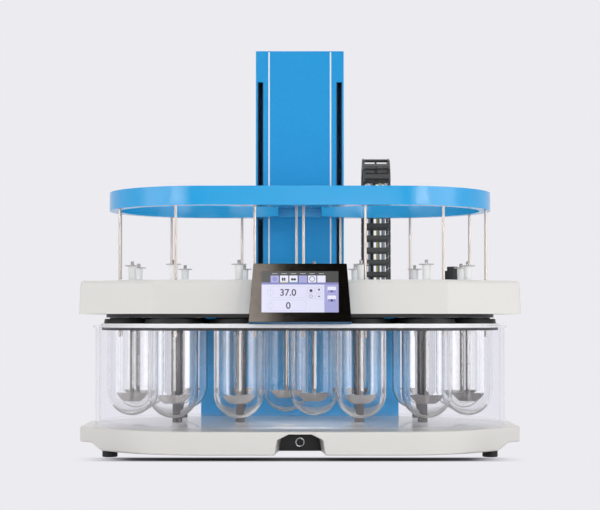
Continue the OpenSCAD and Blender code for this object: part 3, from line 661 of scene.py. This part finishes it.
# Head floor and vessel covers: a black moulded plate under the head, and under it a lid for each vessel
# with a skirt round the glass flange, a raised middle and holes for the shaft and the sampling tube.
floor_low = 0.3095
cover_low = 0.2966
cover_roof = 0.3016
cover_edge = 0.3066
cover_r = 0.0635
cover_skirt = 0.0028
cover_mid_r = 0.0500
cover_draft = 0.965
cover_rounding = 0.0006
cover_gap = 0.0002
cover_shaft_hole_r = 0.0075
cover_probe_hole_r = 0.0045
cover_drill_l = 0.05
probe_r = 0.0427
probe_turn = math.radians(32.9)
probe_spots = [(x + probe_r * math.cos(a + probe_turn), y + probe_r * math.sin(a + probe_turn))
               for (x, y), (_, a) in zip(station_spots, stations)]
dress("head_floor", black_abs)
let_go()
bpy.ops.mesh.primitive_cylinder_add(vertices=72, radius=cover_r, depth=cover_edge - cover_low,
                                    location=(0, 0, (cover_low + cover_edge) / 2))
cover = shape(bpy.context.object)
pick_points(cover, lambda p: p.z > cover_edge - near)
bpy.ops.transform.resize(value=(cover_draft, cover_draft, 1), center_override=(0, 0, 0))
pick_faces(cover, lambda c, n: n.z > 0.9)
bpy.ops.mesh.inset(thickness=cover_draft * cover_r - cover_mid_r)
pull((0, 0, floor_low - cover_gap - cover_edge))
pick_faces(cover, lambda c, n: n.z < -0.9)
bpy.ops.mesh.inset(thickness=cover_skirt)
pull((0, 0, cover_roof - cover_low))
face_out()
let_go()
bpy.ops.mesh.primitive_cylinder_add(vertices=32, radius=1, depth=1, location=(0, 0, 0))
holes = copies(bpy.context.object,
               [Matrix.Translation((x, 0, floor_low)) @ Matrix.Diagonal((r, r, cover_drill_l, 1))
                for x, r in ((0, cover_shaft_hole_r), (probe_r, cover_probe_hole_r))])
cut(cover, holes)
round_edges(cover, cover_rounding, 2, 50)
covers = copies(cover, [Matrix.Translation((x, y, 0)) @ Matrix.Rotation(a + probe_turn, 4, "Z")
                        for (x, y), (_, a) in zip(station_spots, stations)])
finish(covers, "vessel_lids", black_abs, "head", "black_plastic", "vessel_covers")

# Head shell: a white cover moulded in polyurethane with eight sides, a slight draft, rounded upper edges
# and a hole for each shaft and each sampling tube.
head_low = 0.3175
head_high = 0.3915
head_half_d = 0.245
head_front_w = 0.320
head_half_w = 0.490
head_end_l = 0.143
head_draft = (0.994, 0.988, 1)
head_corner = 0.004
head_rounding = 0.009
head_wall = 0.004
head_shaft_hole_r = 0.0075
head_probe_hole_r = 0.0047
head_drill_l = 0.03
let_go()
bpy.ops.mesh.primitive_cube_add(size=1, location=(0, mid_y, (head_low + head_high) / 2),
                                scale=(2 * head_half_w, 2 * head_half_d, head_high - head_low))
head = shape(bpy.context.object)
for sx in (-1, 1):
    for sy in (-1, 1):
        bpy.ops.mesh.select_all(action="SELECT")
        bpy.ops.mesh.bisect(plane_co=(sx * head_front_w, mid_y + sy * head_half_d, 0),
                            plane_no=(sx * (head_half_d - head_end_l), sy * (head_half_w - head_front_w), 0),
                            clear_outer=True, use_fill=True)
pick_points(head, lambda p: p.z > head_high - near)
bpy.ops.transform.resize(value=head_draft, center_override=(0, mid_y, 0))
pick_edges(head, lambda a, b: abs(a.z - b.z) > 10 * near)
bpy.ops.mesh.bevel(offset=head_corner, segments=3)
pick_edges(head, lambda a, b: min(a.z, b.z) > head_high - near)
bpy.ops.mesh.bevel(offset=head_rounding, segments=6)
pick_faces(head, lambda c, n: n.z < -0.9)
bpy.ops.mesh.delete(type="FACE")
face_out()
modify(head, "SOLIDIFY", thickness=head_wall, offset=-1, use_even_offset=True)
let_go()
bpy.ops.mesh.primitive_cylinder_add(vertices=32, radius=1, depth=1, location=(0, 0, 0))
holes = copies(bpy.context.object,
               [Matrix.Translation((x, y, head_high)) @ Matrix.Diagonal((r, r, head_drill_l, 1))
                for r, spots in ((head_shaft_hole_r, station_spots), (head_probe_hole_r, probe_spots))
                for x, y in spots])
cut(head, holes)
finish(head, "head_cover", white_enamel, "head", "white_casting", "head_shell")

# Spindle caps: flanged sleeves moulded in natural polypropylene, pushed on the head round each shaft.
# They taper towards the foot, and the bore is sunk only as far as it can be seen.
cap_high = 0.4275
cap_r = 0.00925
cap_bore = 0.0054
cap_bore_l = 0.030
cap_foot = 0.9
cap_flange_r = 0.017
cap_flange_t = 0.002
cap_edge = 0.0006
flange_fade = 0.0008

# Natural polypropylene, moulded: milky white, lets some light through, soft gloss with a faint millimetre
# grain. The thin flange at the top is painted a greyer white than the sleeve: a painted shade for its
# underside, which faces down.
polypropylene = surface("natural_polypropylene", {"IOR": 1.49, "Subsurface Weight": 0.35,
                                                  "Subsurface Radius": (0.004, 0.004, 0.004)})
grain(polypropylene, spacing=0.001, depth=0.00002, smooth=0.35, dull=0.45)
tree = polypropylene.node_tree
skin = tree.nodes["Principled BSDF"]
coords = add_node(tree, "ShaderNodeTexCoord", {})
spot = add_node(tree, "ShaderNodeSeparateXYZ", {"Vector": coords.outputs["Object"]})
flange_low = cap_high - cap_flange_t
# Painted shade: the flange's colour is a greyer white, standing in for the shade on its underside.
painted_flange_shade = add_node(tree, "ShaderNodeMapRange", {"Value": spot.outputs["Z"], "From Min": flange_low - flange_fade,
                                             "From Max": flange_low})
sleeve_and_shaded_flange = add_node(tree, "ShaderNodeMix", {"Factor": painted_flange_shade.outputs[0], "A": linear("#F6F5F3"),
                                        "B": linear("#BDBBBA")}, data_type="RGBA")
tree.links.new(sleeve_and_shaded_flange.outputs["Result"], skin.inputs["Base Color"])
let_go()
bpy.ops.mesh.primitive_cylinder_add(vertices=48, radius=cap_r, depth=flange_low - head_high,
                                    location=(0, 0, (flange_low + head_high) / 2))
cap = shape(bpy.context.object)
pick_points(cap, lambda p: p.z < head_high + near)
bpy.ops.transform.resize(value=(cap_foot, cap_foot, 1), center_override=(0, 0, 0))
pick_faces(cap, lambda c, n: n.z > 0.9)
pull((0, 0, 0))
bpy.ops.transform.resize(value=(cap_flange_r / cap_r, cap_flange_r / cap_r, 1), center_override=(0, 0, 0))
pull((0, 0, cap_flange_t))
bpy.ops.mesh.inset(thickness=cap_flange_r - cap_bore)
pull((0, 0, -cap_bore_l))
face_out()
round_edges(cap, cap_edge, 2, 50)
caps = copies(cap, [Matrix.Translation((x, y, 0)) for x, y in station_spots])
finish(caps, "spindle_sleeves", polypropylene, "head", "white_plastic", "spindle_caps")

# Paddles: ground stainless shafts with a blade of sheet steel welded across the foot and a drive pulley
# inside the head. All fourteen turn together.
# Stainless steel, glass-bead blasted: pale grey, with broad soft reflections and a dimple every three tenths
# of a millimetre.
satin_steel = surface("blasted_stainless", {"Base Color": linear("#8E8B89"), "Metallic": 1})
grain(satin_steel, spacing=0.0003, depth=0.000004, smooth=0.22, dull=0.30)
blade_low = 0.1205
blade_half_t = 0.002
blade_h = 0.019
blade_arc_r = 0.0415
blade_arc_rise = 0.03729
blade_edge = 0.0004
shaft_r = 0.005
shaft_high = 0.4215
tip_r = 0.00375
tip_high = 0.4365
tip_edge = 0.001
pulley_r = 0.015
pulley_low = 0.3378
pulley_h = 0.010
pulley_edge = 0.0008
blade_turn_max = math.radians(24)
blade_turn_step = math.radians(77)
let_go()
bpy.ops.mesh.primitive_cylinder_add(vertices=96, radius=blade_arc_r, depth=2 * blade_half_t,
                                    location=(0, 0, blade_low + blade_arc_rise), rotation=(math.pi / 2, 0, 0))
paddle = shape(bpy.context.object)
for height, up in ((blade_low, -1), (blade_low + blade_h, 1)):
    bpy.ops.mesh.select_all(action="SELECT")
    bpy.ops.mesh.bisect(plane_co=(0, 0, height), plane_no=(0, 0, up), clear_outer=True, use_fill=True)
round_edges(paddle, blade_edge, 2, 40)
let_go()
bpy.ops.mesh.primitive_cylinder_add(vertices=48, radius=shaft_r, depth=shaft_high - blade_low,
                                    location=(0, 0, (shaft_high + blade_low) / 2))
shaft = shape(bpy.context.object)
pick_faces(shaft, lambda c, n: n.z > 0.9)
bpy.ops.mesh.inset(thickness=shaft_r - tip_r)
pull((0, 0, tip_high - shaft_high))
bpy.ops.mesh.bevel(offset=tip_edge, segments=2)
let_go()
bpy.ops.mesh.primitive_cylinder_add(vertices=48, radius=pulley_r, depth=pulley_h,
                                    location=(0, 0, pulley_low + pulley_h / 2))
pulley = shape(bpy.context.object)
pick_edges(pulley, lambda a, b: abs(a.z - b.z) < near / 10)
bpy.ops.mesh.bevel(offset=pulley_edge, segments=2)
paddle = joined((paddle, shaft, pulley))
for k, (x, y) in enumerate(station_spots):
    turn = blade_turn_max * math.sin(k * blade_turn_step)
    stirrer = copy_at(paddle, Matrix.Translation((x, y, 0)) @ Matrix.Rotation(turn, 4, "Z"))
    finish(stirrer, f"stirrer_{k + 1}", satin_steel, f"paddle_{k + 1}", "steel", f"paddle_{k + 1}")
bpy.data.objects.remove(paddle)

# Display: a sheet of black glass on a slim blue case that leans back on the head's front. The picture is laid
# on the glass in thin lit films: a dark bar with six keys, the bath's temperature, the speed and two keys.
display_foot = Vector((0, -0.3645, 0.2985))
display_lean = math.radians(12)
display_half_w = 0.1095
display_top_half_w = 0.100
display_h = 0.129
bezel_low = 0.0012
bezel_t = 0.0016
screen_w = 0.164
screen_h = 0.090
screen_mid = 0.067
film = 0.00008
film_corner = 0.0008
film_merged = 0.000001
digit_weight = 0.0003
case_rounding = 0.0015
bezel_corner = 0.002
bezel_edge = 0.0005
leaning = Matrix.Translation(display_foot) @ Matrix.Rotation(-display_lean, 4, "X")

# Soda-lime glass printed black on its back: a deep black with a clear, slightly soft reflection that finger
# marks, about twelve millimetres across, dull here and there.
black_glass = surface("printed_black_glass", {"Base Color": linear("#050404"), "IOR": 1.52,
                                              "Specular Tint": linear("#FFF0E2")})
grain(black_glass, spacing=0.012, depth=0.000001, smooth=0.08, dull=0.12)

# Polycarbonate, moulded: a satin blue, painted darker than the tower's blue as painted shade for the case's
# lower edge, which faces down, with a grain of six tenths of a millimetre.
shade_darkened_blue_case = surface("blue_polycarbonate", {"Base Color": linear("#24618C")})
grain(shade_darkened_blue_case, spacing=0.0006, depth=0.00004, smooth=0.35, dull=0.45)
finish(soften("display_housing", case_rounding), "display_case", shade_darkened_blue_case, "head", "blue_paint",
       "display_housing")
let_go()
bpy.ops.mesh.primitive_cube_add(size=1, location=(0, -bezel_t / 2, (display_h + bezel_low) / 2),
                                scale=(2 * display_half_w, bezel_t, display_h - bezel_low))
bezel = shape(bpy.context.object)
pick_points(bezel, lambda p: p.z > display_h / 2)
bpy.ops.transform.resize(value=(display_top_half_w / display_half_w, 1, 1), center_override=(0, 0, 0))
pick_edges(bezel, lambda a, b: abs(a.y - b.y) > near)
bpy.ops.mesh.bevel(offset=bezel_corner, segments=3)
pick_faces(bezel, lambda c, n: n.y < -0.9)
bpy.ops.mesh.bevel(offset=bezel_edge, segments=2)
let_go()
bezel.data.transform(leaning)
finish(bezel, "display_glass", black_glass, "head", "black_plastic")


def lit(name, code):
    """Part of a lit liquid-crystal picture: its colour is its own light, under a faint reflection."""
    return surface(name, {"Base Color": linear("#000000"), "Roughness": 0.25, "Emission Color": linear(code),
                          "Emission Strength": 1})


def on_screen(across, down, layer):
    """A place on the upright screen, by shares of its width and height, and by the film's layer."""
    return screen_w * (across - 0.5), -bezel_t - layer * film, screen_mid + screen_h * (0.5 - down)


def as_film(part, line):
    """Gives a flat shape a film's thickness, and keeps only a line round it if the line has a width."""
    bpy.ops.mesh.select_all(action="SELECT")
    if line:
        bpy.ops.mesh.inset(thickness=line)
        bpy.ops.mesh.delete(type="FACE")
        bpy.ops.mesh.select_all(action="SELECT")
    pull((0, -film / 2, 0))
    let_go()
    return part


def screen_patch(left, right, top, bottom, layer, corner=film_corner, line=0):
    """A rectangle on the screen with round corners, filled or as an outline."""
    let_go()
    middle = on_screen((left + right) / 2, (top + bottom) / 2, layer)
    bpy.ops.mesh.primitive_plane_add(size=1, location=middle, rotation=(math.pi / 2, 0, 0))
    bpy.context.object.scale = (screen_w * (right - left), screen_h * (bottom - top), 1)
    part = shape(bpy.context.object)
    bpy.ops.mesh.select_all(action="SELECT")
    bpy.ops.mesh.bevel(offset=corner, segments=3, affect="VERTICES")
    return as_film(part, line)


def screen_ring(across, down, radius, layer, hole=0):
    """A ring or disc on the screen."""
    let_go()
    bpy.ops.mesh.primitive_circle_add(vertices=40, radius=radius, fill_type="NGON",
                                      location=on_screen(across, down, layer), rotation=(math.pi / 2, 0, 0))
    return as_film(shape(bpy.context.object), radius - hole if hole else 0)


def screen_number(digits, across, down, size, layer):
    """Digits on the screen, centred."""
    let_go()
    bpy.ops.object.text_add(location=on_screen(across, down, layer), rotation=(math.pi / 2, 0, 0))
    part = bpy.context.object
    part.data.body = digits
    part.data.size = size
    part.data.offset = digit_weight
    part.data.extrude = film / 4
    part.data.align_x = "CENTER"
    part.data.align_y = "CENTER"
    bpy.ops.object.convert(target="MESH")
    part = shape(bpy.context.object)
    bpy.ops.mesh.select_all(action="SELECT")
    bpy.ops.mesh.remove_doubles(threshold=film_merged)
    let_go()
    return part


def show(name, code, parts, *nodes):
    """Joins films of one colour and lays them on the leaning glass."""
    whole = joined(parts)
    whole.data.transform(leaning)
    finish(whole, "screen_" + name, lit("lit_" + name, code), "head", "screen", *nodes)


# What the picture shows, from its ground up. Places are shares of the screen from its upper left corner.
key_starts = [0.116, 0.238, 0.360, 0.483, 0.603, 0.723]
key_w = 0.108
key_top = 0.106
key_mid = 0.19
key_foot_top = 0.259
caption_in = 0.02
bar_foot = 0.275
stripe_foot = 0.325
column_left = 0.815
fine_corner = 0.0003
fine_line = 0.0004
number_h = 0.0205


def bar_key(k, top=key_top, layer=3, corner=film_corner):
    """A key in the bar, or its foot."""
    return screen_patch(key_starts[k], key_starts[k] + key_w, top, bar_foot, layer, corner)


show("ground", "#DEDEF6", [screen_patch(0, 1, 0, 1, 0)], "display_screen")
show("bar", "#4A4A4A", [screen_patch(0, 1, 0, bar_foot, 1)])
show("violet", "#8584BC", [screen_patch(0, 1, bar_foot, stripe_foot, 2)])
show("column", "#A6A6D8", [screen_patch(column_left, 1, stripe_foot, 1, 2)])
show("pale_keys", "#E8E8FA",
     [bar_key(k) for k in (1, 2, 4, 5)]
     + [screen_patch(0.855, 0.967, top, top + 0.16, 4, 0.0018) for top in (0.377, 0.592)])
show("lavender_keys", "#A9A9DC", [bar_key(k) for k in (0, 3)])
show("key_feet", "#9090CE",
     [screen_patch(0.857, 0.965, top, top + 0.07, 5, 0.0012) for top in (0.463, 0.680)]
     + [screen_ring(key_starts[0] + key_w / 2, key_mid, 0.0050, 4),
        screen_ring(key_starts[3] + key_w / 2, key_mid, 0.0048, 4, 0.0040)])
show("captions", "#B9B9BE",
     [screen_patch(start + caption_in, start + key_w - caption_in, 0.052, 0.066, 3, fine_corner)
      for start in key_starts])
show("outlines", "#A9A9C6",
     [screen_patch(0.115, 0.575, top, top + 0.265, 4, 0.003, 0.0003) for top in (0.375, 0.695)]
     + [screen_patch(0.079, 0.157, top, top + 0.13, 5, 0.004, fine_line) for top in (0.455, 0.775)]
     + [screen_patch(left, left + 0.086, top, top + 0.135, 4, 0.0015, fine_line)
        for left in (0.599, 0.703) for top in (0.389, 0.546)])
show("yellow", "#D9CE55", [bar_key(1, key_foot_top, 4, fine_corner)])
show("teal", "#86C6D2", [bar_key(2, key_foot_top, 4, fine_corner)])
show("ink", "#3F3F48",
     [screen_number("37.0", 0.343, 0.527, number_h, 6), screen_number("0", 0.347, 0.844, number_h, 6)]
     + [screen_patch(left, left + 0.022, 0.16, 0.235, 5, 0.0006) for left in (0.262, 0.288)]
     + [screen_ring(across, 0.20, 0.0028, 5) for across in (0.398, 0.430)]
     + [screen_ring(key_starts[4] + key_w / 2, key_mid, 0.0060, 5, 0.0048),
        screen_ring(0.642, 0.475, 0.0032, 5), screen_ring(0.746, 0.45, 0.0022, 5),
        screen_ring(0.642, 0.61, 0.0034, 5, 0.0027), screen_ring(0.911, 0.49, 0.0020, 7),
        screen_ring(0.911, 0.71, 0.0026, 7), screen_patch(0.733, 0.759, 0.60, 0.625, 5, 0.0004)])

# Sensor module: a small black unit moulded in ABS with rounded edges. It is clipped on the top of the head,
# at the right rear.
sensor_rounding = 0.0015
finish(soften("sensor_module", sensor_rounding), "sensor_unit", black_abs, "head", "black_plastic",
       "sensor_module")

# Manifold: a frame milled from aluminium plate, with two round windows over the rings, and its fourteen
# sampling tubes, which are pressed into its underside.
# Fine-texture enamel: satin blue whose tiny orange-peel, half a millimetre apart, breaks up the highlights.
satin_blue = surface("fine_blue_enamel", {"Base Color": linear("#2AA4E0"), "Roughness": 0.17})
tree = satin_blue.node_tree
skin = tree.nodes["Principled BSDF"]
coords = add_node(tree, "ShaderNodeTexCoord", {})
peel = add_node(tree, "ShaderNodeTexNoise", {"Vector": coords.outputs["Object"], "Scale": 1800, "Detail": 1})
bumps = add_node(tree, "ShaderNodeBump", {"Height": peel.outputs["Fac"], "Strength": 0.3,
                                          "Distance": 0.0003})
tree.links.new(bumps.outputs["Normal"], skin.inputs["Normal"])
manifold_edge = 0.0005
finish(soften("manifold", manifold_edge), "sampling_frame", satin_blue, "manifold", "blue_casting",
       "manifold")

# Drawn stainless tube, electropolished: a warm pale grey with soft reflections and draw marks up its length.
polished_steel = surface("electropolished_stainless", {"Base Color": linear("#BFB5AF"), "Metallic": 1})
grain(polished_steel, spacing=0.001, depth=0.0000006, smooth=0.28, dull=0.32, stretch=(1, 1, 0.03))
dress("probes", polished_steel)

# Cable chain: links moulded in black polyamide, each with two side plates, crossbars and a divider, that
# roll over as the head rises and carry the head's leads up from the head and down to the rear housing.
chain_x = 0.191
chain_y = 0.1875
chain_w = 0.068
link_h = 0.024
link_pitch = 0.030
chain_low = 0.3725
front_links = 9
bend_links = 6
back_links = 11
bend_r = 0.054
bend_z = chain_low + front_links * link_pitch
side_t = 0.005
side_gap = 0.0006
side_edge = 0.0016
bar_h = 0.011
bar_t = 0.0028
bar_let_in = 0.001
bar_edge = 0.0008
divider_edge = 0.0006

# Glass-filled polyamide, moulded: a dull charcoal black with an uneven grain of eight tenths of a millimetre.
polyamide = surface("black_polyamide", {"Base Color": linear("#4A4A49")})
grain(polyamide, spacing=0.0008, depth=0.00005, smooth=0.48, dull=0.62)


def chain_piece(size, place, edge):
    """A block of one link with rounded edges."""
    let_go()
    bpy.ops.mesh.primitive_cube_add(size=1, location=place, scale=size)
    part = shape(bpy.context.object)
    modify(part, "BEVEL", width=edge, segments=2)
    return part


side_size = (side_t, link_h, link_pitch - side_gap)
bar_size = (chain_w - 2 * side_t + bar_let_in, bar_t, bar_h)
pieces = [chain_piece(side_size, (side * (chain_w - side_t) / 2, 0, 0), side_edge) for side in (-1, 1)]
pieces += [chain_piece(bar_size, (0, side * (link_h - bar_t) / 2, 0), bar_edge) for side in (-1, 1)]
pieces.append(chain_piece((bar_t, link_h - bar_t, bar_h), (0, 0, 0), divider_edge))
link = joined(pieces)
spots = [Matrix.Translation((chain_x, chain_y, chain_low + (k + 0.5) * link_pitch))
         for k in range(front_links)]
spots += [Matrix.Translation((chain_x, chain_y + bend_r, bend_z))
          @ Matrix.Rotation(-(k + 0.5) * math.pi / bend_links, 4, "X") @ Matrix.Translation((0, -bend_r, 0))
          for k in range(bend_links)]
spots += [Matrix.Translation((chain_x, chain_y + 2 * bend_r, bend_z - (k + 0.5) * link_pitch))
          for k in range(back_links)]
chain = finish(copies(link, spots), "chain_links", polyamide, None, "black_plastic", "cable_chain")
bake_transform(chain)

# Leads: eight cables sheathed in soft vinyl of four colours, held in the chain with a little slack, so that
# they wander between its crossbars. The sheath is extruded, with a satin grain of half a millimetre.
lead_wander = (0.0014, -0.0022, 0.0018, -0.0010, 0.0016)
wander_step = (bend_z - chain_low) / len(lead_wander)
for name, code, offsets, radius in (
        ("white", "#E6E6E8", (-0.0235, 0.0245), 0.0034),
        ("grey", "#98A1AC", (-0.0150, 0.0120, 0.0185), 0.0030),
        ("lime", "#C6CE4C", (0.0050,), 0.0026),
        ("black", "#1D1D1F", (-0.0090, -0.0040), 0.0032)):
    sheath = surface("vinyl_sheath_" + name, {"Base Color": linear(code)})
    grain(sheath, spacing=0.0005, depth=0.00002, smooth=0.37, dull=0.47)
    leads = []
    for number, offset in enumerate(offsets):
        let_go()
        bpy.ops.mesh.primitive_circle_add(vertices=14, radius=radius,
                                          location=(chain_x + offset, chain_y, chain_low))
        lead = shape(bpy.context.object)
        bpy.ops.mesh.select_all(action="SELECT")
        for shift in lead_wander:
            pull((shift * (-1) ** number, 0, wander_step))
        bpy.ops.mesh.spin(steps=18, angle=-math.pi, center=(chain_x, chain_y + bend_r, bend_z),
                          axis=(1, 0, 0))
        pull((0, 0, -back_links * link_pitch))
        bpy.ops.mesh.select_all(action="SELECT")
        bpy.ops.mesh.fill_holes(sides=0)
        face_out()
        let_go()
        leads.append(lead)
    cable = finish(joined(leads), "leads_" + name, sheath, None, "black_rubber")
    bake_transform(cable)
